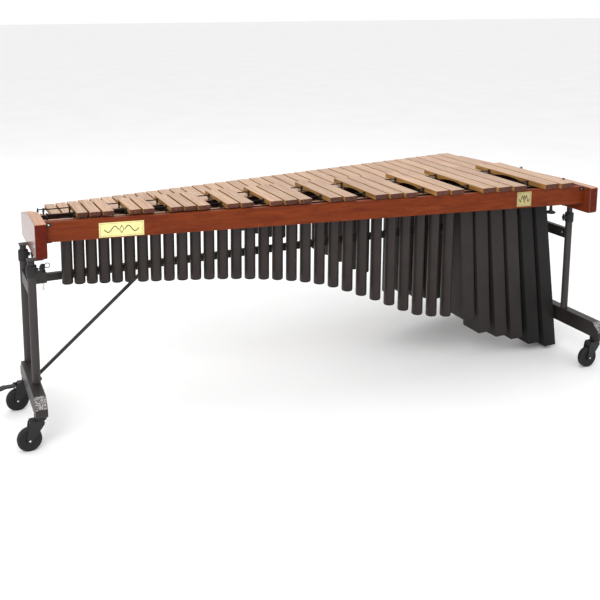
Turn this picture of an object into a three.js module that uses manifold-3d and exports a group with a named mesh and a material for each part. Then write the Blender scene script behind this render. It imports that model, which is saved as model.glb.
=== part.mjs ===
// A five-octave concert marimba on an adjustable wheeled stand, in millimetres, +Z up.
//
// x runs along the keyboard from the high end (C7) to the low end (C2), y from the audience side
// (accidental bars, apron) to the player side (natural bars), and z up from the floor. Sizes are
// laid out from the left edge of the highest natural's place and from the apron's outer face
// there; at the end everything moves so that the origin is under the middle of the object.
import * as THREE from "three";
import { mergeVertices } from "three/addons/utils/BufferGeometryUtils.js";
import Module from "manifold-3d";

const wasm = await Module();
wasm.setup();

// ---------------------------------------------------------------- driving dimensions
const GAP = 0.3; // clearance between parts that touch

// keyboard
const NATURALS = 36;
const KEYBOARD_LENGTH = 2453;
const FIRST_PITCH = 50.68; // room for the highest natural bar
const LAST_PITCH = 85.6; // room for the lowest natural bar
const BAR_GAP = 7.8;
const BAR_THICKNESS = [20, 24]; // high end, low end
const BAR_ARCH = [3, 13]; // depth of the tuning arch under the bar, high end, low end
const NATURAL_TOP = 900;
const ACCIDENTAL_TOP = 941;
const NATURAL_FAR = [383.8, 745.1]; // y of the bars' ends, high end, low end
const NATURAL_NEAR = [190, 155];
const ACCIDENTAL_NEAR = [23.9, -369.8];
const ACCIDENTAL_FAR = [201, 200.5];
const NODE_SHARE = 0.224; // a bar's still points, as a share of its length from each end
const ACCIDENTAL_STEPS = [2, 3, 4, 6, 7]; // which gaps between an octave's naturals hold one
const OCTAVES = 5;
const OCTAVE_NATURALS = 7;

// cord and cord posts
const CORD_RADIUS = 2;
const CORD_START = -38;
const CORD_END = 2459;
const POST = { width: 4, depth: 9, sunk: 3 };

// wooden frame
const APRON = { face: [-1, -349.5], thickness: 27, bottom: 828.5, top: 916 };
const NODAL_RAIL = { thickness: 16, height: 60 };
const ACCIDENTAL_RAIL_TOP = 909;
const NATURAL_RAIL_TOP = 866;
const HIGH_BLOCK = { x: [-98.6, -50.5], y: [-22, 405], bottom: 765, top: 917 };
const HIGH_SLOPE = { start: 185, end: 871 }; // where the block's top starts to fall, and to what
const LOW_BOARD = { x: [2471, 2517], y: [-401, 702], bottom: 789, top: 917 };
const LOW_SLOPE = { start: -182, end: 885 };
const EDGE_CHAMFER = 9;

// resonators
const FRONT_TUBE_LINE = [131.7, -152]; // y of the tube centres, high end, low end
const BACK_TUBE_LINE = [287, 445];
const FRONT_TUBE_TOP = 895;
const BACK_TUBE_TOP = 856;
const TUBE_RADIUS = [24.4, 28];
const TUBE_WALL = 2;
const TUBE_SIDES = 8;
const LAST_TUBE = 29;
const FRONT_BOXES = 6;
const BACK_BOXES = 7;
const BOX_DEPTH = 130;
const BOX_WIDTH = 73;
const BOX_WALL = 2.5;
const FRONT_BOX_BOTTOMS = [226, 141, 109, 84, 44, 18];
const FRONT_BOX_SPREAD = [46, 58, 78, 88, 110, 126]; // how far each box leans to the low end
const BACK_BOX_BOTTOMS = [226, 190, 165, 150, 141, 134, 131];
const STRAP = { bottom: 836, top: 848, thickness: 4 };
// the decorative arch of the front tubes' lower ends: place along the bank, height of the end
const FRONT_ARCH = [[1, 603], [8, 580], [15, 547], [20, 488], [24, 378], [27, 278], [29, 252]];
const HIGHEST_PITCH_HZ = 2093;
const SOUND_SPEED = 343000; // mm/s
const SHORTEST_TUBE = 62;
const SCALE_STEPS = [0, 1, 3, 5, 7, 8, 10]; // semitones down from C to B, A, G, F, E, D

// trestles
const TRESTLES = {
  high: { x: -114, footX: -121, legs: [14, 258], beam: [-162, 304], block: HIGH_BLOCK, inward: 1 },
  low: { x: 2550, footX: 2557, legs: [-186, 492], beam: [-449, 640], block: LOW_BOARD, inward: -1 },
};
const BEAM = { width: 50, bottom: 150, top: 226, chamfer: 42, wall: 3, solidEnd: 90 };
const LEG = { radius: 17.5, bore: 14.6, floor: 3, sides: 12 };
const COLLAR = { radius: 22, bottom: 690, top: 738 };
const INNER_POST = { radius: 14, wall: 2, bottom: 400 };
const FLANGE = { reach: 17, y: 44, thickness: 4 };
const KNOB_HEIGHT = 716;
const KNOB_SCREW = 5;
const CROSS_BOARD = { thickness: 24, bottom: 600, top: 652 };
const STRETCHER = { y: 186, width: 26, bottom: 608, top: 641, wall: 2.5 };
const SOCKET = { reach: 72, wall: 3.5, bottom: 603 };
const PIN = { radius: 5, head: 10, ring: 11, wire: 1.8, bottom: 566, top: 684, inset: 58 };
const BRACE = { radius: 8, foot: 178, run: 503 };

// casters
const CASTER_SEAT = 44; // from the end of the foot beam to the swivel axis
const WHEEL = { radius: 50, width: 28, axle: 5, bore: 5.6, trail: 48, z: 50 };
const FORK = { crown: 27, cheek: 4, gap: 16.5, stem: 8, stemHeight: 22 };
const PEDAL = { pivot: 57, height: 116, pin: 3, ear: 2.6 };

// ---------------------------------------------------------------- materials
const finish = (color, roughness, metalness = 0) =>
  new THREE.MeshStandardMaterial({ color, roughness, metalness });
const MATERIALS = {
  bars: () => finish(0xc59a74, 0.5),
  frameWood: () => finish(0x8a3b22, 0.35),
  resonator: () => finish(0x35302f, 0.45, 0.6),
  powderCoat: () => finish(0x1c1b1c, 0.45, 0.3),
  blackPlastic: () => finish(0x161617, 0.5),
  tyre: () => finish(0x232124, 0.7),
  steel: () => finish(0xb9bcc0, 0.3, 1),
  plate: () => finish(0xe6d9a0, 0.35, 0.4),
};

// ---------------------------------------------------------------- solids
function solidOf(geometry) {
  const plain = geometry.index ? geometry.toNonIndexed() : geometry.clone();
  plain.deleteAttribute("normal");
  plain.deleteAttribute("uv");
  const merged = mergeVertices(plain, 1e-4);
  const vertProperties = merged.attributes.position.array;
  const triVerts = new Uint32Array(merged.index.array);
  return new wasm.Manifold(new wasm.Mesh({ numProp: 3, vertProperties, triVerts }));
}

const join = (...solids) => solids.reduce((whole, piece) => whole.add(piece));
const cut = (body, ...tools) => tools.reduce((rest, tool) => rest.subtract(tool), body);

// A six-sided solid: place(u, v, w) gives the corner for each u, v, w of 0 or 1.
function cell(place) {
  const geometry = new THREE.BoxGeometry(1, 1, 1);
  const position = geometry.attributes.position;
  for (let i = 0; i < position.count; i += 1) {
    const corner = [position.getX(i), position.getY(i), position.getZ(i)];
    position.setXYZ(i, ...place(...corner.map((value) => value + 0.5)));
  }
  return solidOf(geometry);
}

const mix = ([low, high], share) => low + (high - low) * share;
const block = (x, y, z) => cell((u, v, w) => [mix(x, u), mix(y, v), mix(z, w)]);
const around = (middle, size) => [middle - size / 2, middle + size / 2];

function rod(from, to, radius, sides = 10) {
  const start = new THREE.Vector3(...from);
  const along = new THREE.Vector3(...to).sub(start);
  const geometry = new THREE.CylinderGeometry(radius, radius, along.length(), sides);
  geometry.translate(0, along.length() / 2, 0);
  const up = new THREE.Vector3(0, 1, 0);
  geometry.applyQuaternion(new THREE.Quaternion().setFromUnitVectors(up, along.normalize()));
  geometry.translate(...from);
  return solidOf(geometry);
}

// A turned solid about a vertical axis through (x, y); the profile lists [radius, z] upwards.
function turned(profile, x, y, sides) {
  const points = profile.map(([radius, z]) => new THREE.Vector2(radius, z));
  const geometry = new THREE.LatheGeometry(points, sides, Math.PI / sides);
  geometry.rotateX(Math.PI / 2);
  geometry.translate(x, y, 0);
  return solidOf(geometry);
}

// An outline drawn in y and z, extruded along x.
function extrudedAlongX(outline, [x0, x1], curveSegments = 3) {
  const options = { depth: x1 - x0, bevelEnabled: false, curveSegments };
  const geometry = new THREE.ExtrudeGeometry(outline, options);
  const turn = new THREE.Matrix4().makeBasis(
    new THREE.Vector3(0, 1, 0),
    new THREE.Vector3(0, 0, 1),
    new THREE.Vector3(1, 0, 0),
  );
  geometry.applyMatrix4(turn);
  geometry.translate(x0, 0, 0);
  return solidOf(geometry);
}

function outlineOf(points) {
  return new THREE.Shape(points.map(([y, z]) => new THREE.Vector2(y, z)));
}

const marimba = new THREE.Group();

function place(name, solid, material) {
  const made = solid.getMesh();
  const geometry = new THREE.BufferGeometry();
  const count = made.numVert;
  const position = new Float32Array(count * 3);
  for (let i = 0; i < count; i += 1) {
    const first = i * made.numProp;
    position.set(made.vertProperties.subarray(first, first + 3), i * 3);
  }
  geometry.setAttribute("position", new THREE.BufferAttribute(position, 3));
  geometry.setIndex(new THREE.BufferAttribute(new Uint32Array(made.triVerts), 1));
  geometry.computeVertexNormals();
  const mesh = new THREE.Mesh(geometry, material());
  mesh.name = name;
  marimba.add(mesh);
}

// ---------------------------------------------------------------- places along the keyboard
const PITCH_STEP = (LAST_PITCH - FIRST_PITCH) / (NATURALS - 1);
const boundary = (k) => FIRST_PITCH * k + (PITCH_STEP * k * (k - 1)) / 2;
const alongKeyboard = (x) => x / KEYBOARD_LENGTH;
const lineAt = (line, x) => mix(line, alongKeyboard(x));
const pitchAt = (k) => FIRST_PITCH + PITCH_STEP * k;
const accidentalWidth = (k) => pitchAt(k - 0.5) - BAR_GAP;

const naturalNear = (x) => lineAt(NATURAL_NEAR, x);
const naturalFar = (x) => lineAt(NATURAL_FAR, x);
const accidentalNear = (x) => lineAt(ACCIDENTAL_NEAR, x);
const accidentalFar = (x) => lineAt(ACCIDENTAL_FAR, x);

// The four lines of still points that the cords and the nodal rails follow.
const nodeLine = (near, far, share) => (x) => near(x) + (far(x) - near(x)) * share;
const NODE_LINES = {
  accidentalNear: nodeLine(accidentalNear, accidentalFar, NODE_SHARE),
  accidentalFar: nodeLine(accidentalNear, accidentalFar, 1 - NODE_SHARE),
  naturalNear: nodeLine(naturalNear, naturalFar, NODE_SHARE),
  naturalFar: nodeLine(naturalNear, naturalFar, 1 - NODE_SHARE),
};

const cordHeight = (top) => top - BAR_THICKNESS[0] / 2;

// ---------------------------------------------------------------- bars on their cords
function bar(middle, width, near, far, top) {
  const share = alongKeyboard(middle);
  const thickness = mix(BAR_THICKNESS, share);
  const [y0, y1] = [near(middle), far(middle)];
  const [archStart, archEnd] = [mix([y0, y1], 0.3), mix([y0, y1], 0.7)];
  const under = top - thickness;
  const outline = new THREE.Shape();
  outline.moveTo(y0, under);
  outline.lineTo(archStart, under);
  const crown = under + 2 * mix(BAR_ARCH, share);
  outline.quadraticCurveTo((y0 + y1) / 2, crown, archEnd, under);
  outline.lineTo(y1, under);
  outline.lineTo(y1, top);
  outline.lineTo(y0, top);
  return extrudedAlongX(outline, around(middle, width));
}

function cord(line, x0, x1, z) {
  return rod([x0, line(x0), z], [x1, line(x1), z], CORD_RADIUS, 4);
}

function barSet(bars, lines, ends, near, far, top) {
  const z = cordHeight(top);
  const strung = bars.map(([middle, width]) => bar(middle, width, near, far, top));
  const cords = lines.map((line) => cord(line, ...ends, z));
  return join(...strung, ...cords);
}

// The x where one octave's set of bars ends and the next begins.
function setEnds(octave, shift) {
  const last = octave === OCTAVES - 1;
  const start = octave === 0 ? CORD_START : boundary(OCTAVE_NATURALS * octave + 1) + shift + GAP;
  const end = last ? CORD_END : boundary(OCTAVE_NATURALS * (octave + 1) + 1) + shift - GAP;
  return [start, end];
}

function makeBars() {
  for (let octave = 0; octave < OCTAVES; octave += 1) {
    const first = octave === 0 ? 0 : OCTAVE_NATURALS * octave + 1;
    const next = OCTAVE_NATURALS * (octave + 1) + 1;
    const naturals = [];
    for (let i = first; i < Math.min(next, NATURALS); i += 1) {
      naturals.push([(boundary(i) + boundary(i + 1)) / 2, pitchAt(i) - BAR_GAP]);
    }
    const naturalLines = [NODE_LINES.naturalNear, NODE_LINES.naturalFar];
    const name = `octave_${6 - octave}`;
    const naturalSet = barSet(
      naturals, naturalLines, setEnds(octave, 0), naturalNear, naturalFar, NATURAL_TOP,
    );
    place(`natural_bars_${name}`, naturalSet, MATERIALS.bars);
    const accidentals = ACCIDENTAL_STEPS.map((step) => {
      const k = OCTAVE_NATURALS * octave + step;
      return [boundary(k), accidentalWidth(k)];
    });
    const accidentalLines = [NODE_LINES.accidentalNear, NODE_LINES.accidentalFar];
    const accidentalSet = barSet(
      accidentals, accidentalLines, setEnds(octave, 0), accidentalNear, accidentalFar, ACCIDENTAL_TOP,
    );
    place(`accidental_bars_${name}`, accidentalSet, MATERIALS.bars);
  }
}

// ---------------------------------------------------------------- wooden frame
const RAIL_START = HIGH_BLOCK.x[1] + GAP;
const RAIL_END = LOW_BOARD.x[0] - GAP;

function rail(front, thickness, bottom, top) {
  return cell((u, v, w) => {
    const x = mix([RAIL_START, RAIL_END], u);
    return [x, front(x) + thickness * v, mix([bottom, top], w)];
  });
}

function naturalPosts() {
  const places = [CORD_START + 4, CORD_END - 3];
  for (let k = 1; k < NATURALS; k += 1) {
    places.push(boundary(k));
  }
  return places;
}

// Each accidental has a post at its left side; the last of each group has one on its right too.
function accidentalPosts() {
  const places = [CORD_START + 4, CORD_END - 12];
  for (let octave = 0; octave < OCTAVES; octave += 1) {
    ACCIDENTAL_STEPS.forEach((step, n) => {
      const k = OCTAVE_NATURALS * octave + step;
      const reach = (accidentalWidth(k) + BAR_GAP) / 2;
      places.push(boundary(k) - reach);
      if (ACCIDENTAL_STEPS[n + 1] !== step + 1) {
        places.push(boundary(k) + reach);
      }
    });
  }
  return places;
}

function nodalRail(line, top, barTop, posts) {
  const { thickness, height } = NODAL_RAIL;
  const wood = rail((x) => line(x) - thickness / 2, thickness, top - height, top);
  const postTop = cordHeight(barTop) - CORD_RADIUS - GAP;
  const pegs = posts.map((x) =>
    block(around(x, POST.width), around(line(x), POST.depth), [top - POST.sunk, postTop]));
  return join(wood, ...pegs);
}

function endPiece({ x, y, bottom, top }, slope) {
  const c = EDGE_CHAMFER;
  const outline = outlineOf([
    [y[0] + c, bottom],
    [y[1] - c, bottom],
    [y[1], bottom + c],
    [y[1], slope.end],
    [slope.start, top],
    [y[0] + c / 2, top],
    [y[0], top - c / 2],
    [y[0], bottom + c],
  ]);
  return extrudedAlongX(outline, x);
}

function namePlate(x0, x1, z0, z1) {
  const thickness = 1.5;
  const face = (x) => lineAt(APRON.face, x) - GAP;
  return cell((u, v, w) => {
    const x = mix([x0, x1], u);
    return [x, face(x) - thickness * (1 - v), mix([z0, z1], w)];
  });
}

function makeFrame() {
  const apronFace = (x) => lineAt(APRON.face, x);
  place("apron_rail", rail(apronFace, APRON.thickness, APRON.bottom, APRON.top), MATERIALS.frameWood);
  const accidental = accidentalPosts();
  const natural = naturalPosts();
  const rails = [
    ["accidental_near_rail", "accidentalNear", ACCIDENTAL_RAIL_TOP, ACCIDENTAL_TOP, accidental],
    ["accidental_far_rail", "accidentalFar", ACCIDENTAL_RAIL_TOP, ACCIDENTAL_TOP, accidental],
    ["natural_near_rail", "naturalNear", NATURAL_RAIL_TOP, NATURAL_TOP, natural],
    ["natural_far_rail", "naturalFar", NATURAL_RAIL_TOP, NATURAL_TOP, natural],
  ];
  for (const [name, line, top, barTop, posts] of rails) {
    place(name, nodalRail(NODE_LINES[line], top, barTop, posts), MATERIALS.frameWood);
  }
  place("high_end_block", endPiece(HIGH_BLOCK, HIGH_SLOPE), MATERIALS.frameWood);
  place("low_end_board", endPiece(LOW_BOARD, LOW_SLOPE), MATERIALS.frameWood);
  place("name_plate_large", namePlate(162, 348, 835, 897), MATERIALS.plate);
  place("name_plate_small", namePlate(2110, 2186, 837, 908), MATERIALS.plate);
}

// ---------------------------------------------------------------- resonators
function frontArch() {
  const interpolant = new THREE.CubicInterpolant(
    FRONT_ARCH.map(([k]) => k), FRONT_ARCH.map(([, z]) => z), 1, new Float32Array(1),
  );
  return (k) => interpolant.evaluate(k)[0];
}

const tubeRadius = (x) => mix(TUBE_RADIUS, alongKeyboard(x) * (KEYBOARD_LENGTH / boundary(LAST_TUBE)));

function tube(x, y, bottom, top) {
  const radius = tubeRadius(x);
  const inner = radius - TUBE_WALL;
  const profile = [[0, bottom], [radius, bottom], [radius, top], [inner, top], [inner, bottom + 3]];
  return turned([...profile, [0, bottom + 3]], x, y, TUBE_SIDES);
}

// A square-section resonator, open at the top, whose foot is shifted along x by the lean.
function boxTube(x, y, bottom, top, lean) {
  const shell = (inset, floor, roof) => cell((u, v, w) => {
    const z = mix([floor, roof], w);
    const shift = (lean * (top - z)) / (top - bottom);
    const wide = mix(around(x, BOX_WIDTH - 2 * inset), u) + shift;
    return [wide, mix(around(y, BOX_DEPTH - 2 * inset), v), z];
  });
  return cut(shell(0, bottom, top), shell(BOX_WALL, bottom + 3, top + 1));
}

// The strap that a group of resonators is riveted to, along the side away from the apron.
function strap(line, x0, x1, offset) {
  return cell((u, v, w) => {
    const x = mix([x0, x1], u);
    const y = line(x) + offset(x) + STRAP.thickness * v;
    return [x, y, mix([STRAP.bottom, STRAP.top], w)];
  });
}

// A tuned tube is a quarter of its note's wavelength long.
function tunedLength(i) {
  const semitones = 12 * Math.floor(i / OCTAVE_NATURALS) + SCALE_STEPS[i % OCTAVE_NATURALS];
  const pitch = HIGHEST_PITCH_HZ / 2 ** (semitones / 12);
  return Math.max(SHORTEST_TUBE, SOUND_SPEED / (4 * pitch) - TUBE_RADIUS[0]);
}

function makeResonators() {
  const frontLine = (x) => lineAt(FRONT_TUBE_LINE, x);
  const backLine = (x) => lineAt(BACK_TUBE_LINE, x);
  const arch = frontArch();
  const strapOffset = (x) => tubeRadius(x) * Math.cos(Math.PI / TUBE_SIDES) - 1.2;
  const groups = [[0, 10], [10, 20], [20, 29]];
  const middle = (i) => (boundary(i) + boundary(i + 1)) / 2;
  groups.forEach(([start, end], n) => {
    const front = [];
    const back = [];
    for (let i = start; i < end; i += 1) {
      const [fx, bx] = [boundary(i + 1), middle(i)];
      front.push(tube(fx, frontLine(fx), arch(i + 1), FRONT_TUBE_TOP));
      back.push(tube(bx, backLine(bx), BACK_TUBE_TOP - tunedLength(i), BACK_TUBE_TOP));
    }
    const [f0, f1] = [boundary(start + 1) - 22, boundary(end) + 22];
    const [b0, b1] = [middle(start) - 22, middle(end - 1) + 22];
    const frontGroup = join(...front, strap(frontLine, f0, f1, strapOffset));
    const backGroup = join(...back, strap(backLine, b0, b1, (x) => -strapOffset(x) - STRAP.thickness));
    place(`front_resonators_${n + 1}`, frontGroup, MATERIALS.resonator);
    place(`back_resonators_${n + 1}`, backGroup, MATERIALS.resonator);
  });
  const frontBoxes = [];
  for (let n = 0; n < FRONT_BOXES; n += 1) {
    const x = boundary(LAST_TUBE + 1 + n) - 4;
    const y = frontLine(x) - 26 + BOX_DEPTH / 2;
    frontBoxes.push(boxTube(x, y, FRONT_BOX_BOTTOMS[n], FRONT_TUBE_TOP, FRONT_BOX_SPREAD[n]));
  }
  const backBoxes = [];
  for (let n = 0; n < BACK_BOXES; n += 1) {
    const x = middle(LAST_TUBE + n);
    const lean = 4 * (n + 1);
    backBoxes.push(boxTube(x, backLine(x), BACK_BOX_BOTTOMS[n], BACK_TUBE_TOP, lean));
  }
  const frontEnds = [boundary(LAST_TUBE + 1) - 42, boundary(LAST_TUBE + FRONT_BOXES) + 40];
  const backEnds = [middle(LAST_TUBE) - 40, middle(LAST_TUBE + BACK_BOXES - 1) + 40];
  const frontStrap = strap(frontLine, ...frontEnds, () => BOX_DEPTH - 26 - 2);
  const backStrap = strap(backLine, ...backEnds, () => -BOX_DEPTH / 2 - 2);
  place("front_box_resonators", join(...frontBoxes, frontStrap), MATERIALS.resonator);
  place("back_box_resonators", join(...backBoxes, backStrap), MATERIALS.resonator);
}

// ---------------------------------------------------------------- trestles and height posts
function footBeam({ footX: x, beam }) {
  const [y0, y1] = beam;
  const { chamfer: c, bottom, top, wall, solidEnd, width } = BEAM;
  const outline = outlineOf([
    [y0, bottom], [y1, bottom], [y1, top - c], [y1 - c, top], [y0 + c, top], [y0, top - c],
  ]);
  const body = extrudedAlongX(outline, around(x, width));
  const inside = around(x, width - 2 * wall);
  const hollow = block(inside, [y0 + solidEnd, y1 - solidEnd], [bottom - 1, top - wall]);
  const stems = [y0 + CASTER_SEAT, y1 - CASTER_SEAT].map((y) =>
    rod([x, y, bottom - 1], [x, y, bottom + FORK.stemHeight + 2], FORK.stem + 0.5));
  return cut(body, hollow, ...stems);
}

function legTube(x, y, inward) {
  const { radius, bore, floor, sides } = LEG;
  const foot = BEAM.top + GAP;
  const profile = [
    [0, foot], [radius, foot], [radius, COLLAR.bottom], [COLLAR.radius, COLLAR.bottom + 4],
    [COLLAR.radius, COLLAR.top], [bore, COLLAR.top], [bore, foot + floor], [0, foot + floor],
  ];
  const boss = rod([x + inward * 16, y, KNOB_HEIGHT], [x + inward * 28, y, KNOB_HEIGHT], 9, 10);
  const screwHole = rod([x, y, KNOB_HEIGHT], [x + inward * 40, y, KNOB_HEIGHT], KNOB_SCREW + 0.4, 10);
  return cut(join(turned(profile, x, y, sides), boss), screwHole);
}

function clampKnob(x, y, inward) {
  const reach = (distance) => x + inward * distance;
  const at = (distance) => [reach(distance), y, KNOB_HEIGHT];
  const screw = rod(at(INNER_POST.radius + GAP), at(40), KNOB_SCREW, 10);
  const hub = rod(at(32), at(42), 8, 10);
  const wingX = [reach(33), reach(43)].sort((a, b) => a - b);
  const wing = block(wingX, around(y, 9), around(KNOB_HEIGHT, 38));
  return join(screw, hub, wing);
}

function innerPost({ x, block: piece }, y) {
  const { radius, wall, bottom } = INNER_POST;
  const top = piece.bottom - GAP;
  const inner = radius - wall;
  const capped = top - FLANGE.thickness - 4;
  const profile = [[inner, bottom], [radius, bottom], [radius, top - 1], [0, top - 1]];
  const tubeSolid = turned([...profile, [0, capped], [inner, capped], [inner, bottom]], x, y, LEG.sides);
  // the flange reaches from the post's outer side to past the middle of the wood above it
  const middle = (piece.x[0] + piece.x[1]) / 2;
  const outward = Math.sign(x - middle);
  const flangeX = [x + outward * FLANGE.reach, middle - outward * 10].sort((a, b) => a - b);
  const flange = block(flangeX, around(y, FLANGE.y), [top - FLANGE.thickness, top]);
  return join(tubeSolid, flange);
}

function crossBoard({ x, legs, inward }) {
  const { thickness, bottom, top } = CROSS_BOARD;
  const board = block(around(x, thickness), legs, [bottom, top]);
  const clear = legs.map((y) => rod([x, y, bottom - 1], [x, y, top + 1], LEG.radius + 1, LEG.sides));
  const face = x + (inward * thickness) / 2;
  const span = (from, to) => [face + inward * from, face + inward * to].sort((a, b) => a - b);
  const { y, width } = STRETCHER;
  const shell = block(span(-2, SOCKET.reach), around(y, width + 2 * (SOCKET.wall + GAP)),
    [SOCKET.bottom, top]);
  const pocket = block(span(SOCKET.wall, SOCKET.reach + 1), around(y, width + 2 * GAP),
    [STRETCHER.bottom - GAP, top + 1]);
  const pinX = face + inward * PIN.inset;
  const pinHole = rod([pinX, y, SOCKET.bottom - 1], [pinX, y, top], PIN.radius + 0.4);
  return cut(join(cut(board, ...clear), shell), pocket, pinHole);
}

const boardFace = ({ x, inward }) => x + (inward * CROSS_BOARD.thickness) / 2;

function stretcher() {
  const { high, low } = TRESTLES;
  const { y, width, bottom, top, wall } = STRETCHER;
  const ends = [boardFace(high) + SOCKET.wall + GAP, boardFace(low) - SOCKET.wall - GAP];
  const body = block(ends, around(y, width), [bottom, top]);
  const hollow = block([ends[0] - 1, ends[1] + 1], around(y, width - 2 * wall),
    [bottom + wall, top - wall]);
  const holes = [high, low].map((trestle) => {
    const x = boardFace(trestle) + trestle.inward * PIN.inset;
    return rod([x, y, bottom - 1], [x, y, top + 1], PIN.radius + 0.4);
  });
  return cut(body, hollow, ...holes);
}

// The quick-release pin that locks the stretcher in the high trestle's socket, with its pull ring.
function releasePin() {
  const x = boardFace(TRESTLES.high) + PIN.inset;
  const { y, top: seat } = STRETCHER;
  const shank = rod([x, y, PIN.bottom], [x, y, seat + 4], PIN.radius);
  const head = rod([x, y, seat + GAP], [x, y, PIN.top], PIN.head);
  const ringGeometry = new THREE.TorusGeometry(PIN.ring, PIN.wire, 6, 16);
  ringGeometry.rotateX(Math.PI / 2);
  ringGeometry.translate(x + PIN.head + PIN.ring - 1, y, PIN.top - 8);
  return join(shank, head, solidOf(ringGeometry));
}

function brace({ footX: x, inward }) {
  const { y } = STRETCHER;
  const face = x + (inward * BEAM.width) / 2;
  const start = [face + inward * 6.5, y, BRACE.foot];
  const end = [face + inward * BRACE.run, y, STRETCHER.bottom - 7];
  const footX = [face + inward * GAP, face + inward * 18].sort((a, b) => a - b);
  const foot = block(footX, around(y, 14), around(BRACE.foot, 26));
  const head = block(around(end[0], 34), around(y, 14), [end[2] - 8, STRETCHER.bottom - GAP]);
  return join(rod(start, end, BRACE.radius), foot, head);
}

// The black knob on the brace's lower bolt, on the audience side of its bracket.
function braceKnob({ footX: x, inward }) {
  const { y } = STRETCHER;
  const middle = x + (inward * BEAM.width) / 2 + inward * 13;
  const face = y - 8.6;
  const stem = rod([middle, face, BRACE.foot - 3], [middle, face - 12, BRACE.foot - 3], 6);
  const grip = rod([middle, face - 10, BRACE.foot - 3], [middle, face - 26, BRACE.foot - 3], 11, 10);
  return join(stem, grip);
}

function apronKnob() {
  const x = 2308;
  const y = lineAt(APRON.face, x) + APRON.thickness / 2;
  const top = APRON.bottom - GAP;
  const profile = [
    [0, top - 40], [20, top - 40], [23, top - 36], [23, top - 31], [12, top - 28], [7, top - 14],
    [7, top], [0, top],
  ];
  return turned(profile, x, y, 16);
}

function makeStand() {
  for (const [end, trestle] of Object.entries(TRESTLES)) {
    place(`foot_beam_${end}`, footBeam(trestle), MATERIALS.powderCoat);
    place(`cross_board_${end}`, crossBoard(trestle), MATERIALS.powderCoat);
    place(`brace_${end}`, brace(trestle), MATERIALS.powderCoat);
    place(`brace_knob_${end}`, braceKnob(trestle), MATERIALS.blackPlastic);
    trestle.legs.forEach((y, n) => {
      const side = ["front", "back"][n];
      const name = `${end}_${side}`;
      place(`leg_tube_${name}`, legTube(trestle.x, y, trestle.inward), MATERIALS.powderCoat);
      place(`height_post_${name}`, innerPost(trestle, y), MATERIALS.powderCoat);
      place(`clamp_knob_${name}`, clampKnob(trestle.x, y, trestle.inward), MATERIALS.blackPlastic);
    });
  }
  place("stretcher", stretcher(), MATERIALS.powderCoat);
  place("release_pin", releasePin(), MATERIALS.steel);
  place("apron_knob", apronKnob(), MATERIALS.blackPlastic);
}

// ---------------------------------------------------------------- casters
function wheel(x, y) {
  const { radius, width, bore, z } = WHEEL;
  const half = width / 2;
  const profile = [
    [bore, -half], [42, -half], [radius, 6 - half], [radius, half - 6], [42, half], [bore, half],
    [bore, -half],
  ];
  const geometry = new THREE.LatheGeometry(
    profile.map(([r, s]) => new THREE.Vector2(r, s)), 20,
  );
  geometry.translate(x, 0, 0);
  return solidOf(geometry.translate(0, y, z));
}

// The fork: a stem in the foot beam, a round crown, two cheeks down to the axle, and the axle.
// A braked caster's fork also has two ears that hold the pedal's pin.
function fork(x, y, braked) {
  const crownTop = BEAM.bottom - GAP;
  const hubX = x - WHEEL.trail;
  const crown = turned(
    [[0, 126], [FORK.crown - 5, 126], [FORK.crown, 132],
      [FORK.crown, crownTop], [0, crownTop]], x, y, 16);
  const stem = rod([x, y, crownTop - 1], [x, y, BEAM.bottom + FORK.stemHeight], FORK.stem);
  const bridge = block([x - 46, x + 12], around(y, 2 * (FORK.gap + FORK.cheek) - 2), [104, 129]);
  const cheek = new THREE.Shape();
  cheek.moveTo(x + 14, 130);
  cheek.lineTo(x - 48, 130);
  cheek.lineTo(hubX - 13, WHEEL.z);
  cheek.absarc(hubX, WHEEL.z, 13, Math.PI, 2 * Math.PI, false);
  cheek.lineTo(x + 14, 112);
  const cheeks = [y - FORK.gap - FORK.cheek, y + FORK.gap].map((side) => {
    const options = { depth: FORK.cheek, bevelEnabled: false, curveSegments: 4 };
    const geometry = new THREE.ExtrudeGeometry(cheek, options);
    geometry.rotateX(Math.PI / 2);
    geometry.translate(0, side + FORK.cheek, 0);
    return solidOf(geometry);
  });
  const axleReach = FORK.gap + FORK.cheek + 4;
  const axle = rod([hubX, y - axleReach, WHEEL.z], [hubX, y + axleReach, WHEEL.z], WHEEL.axle);
  const wheelRoom = block([x - 110, x + 40], around(y, 2 * FORK.gap), [-1, 108]);
  const bare = join(cut(join(crown, stem, bridge, ...cheeks), wheelRoom), axle);
  if (!braked) {
    return bare;
  }
  const { pivot, height, pin, ear } = PEDAL;
  const ears = [-1, 1].map((side) =>
    block([x - pivot - 7, x - 44], [y + side * 18.4, y + side * (18.4 + ear)].sort((a, b) => a - b),
      [height - 7, height + 7]));
  const hole = rod([x - pivot, y - 30, height], [x - pivot, y + 30, height], pin + 0.3);
  return cut(join(bare, ...ears), hole);
}

// The foot brake: a pedal over the wheel, hinged on the back of the fork.
function brakePedal(x, y) {
  const pivot = x - PEDAL.pivot;
  const pin = rod([pivot, y - 22, PEDAL.height], [pivot, y + 22, PEDAL.height], PEDAL.pin);
  const hub = rod([pivot, y - 18, PEDAL.height], [pivot, y + 18, PEDAL.height], 5);
  const arm = block([pivot - 48, pivot], around(y, 30), [112, 119]);
  const tread = cell((u, v, w) => {
    const along = mix([pivot - 68, pivot - 44], u);
    const z = 119 - 0.25 * (pivot - 44 - along);
    return [along, mix(around(y, 40), v), z - 6 + 6 * w];
  });
  return join(pin, hub, arm, tread);
}

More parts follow.
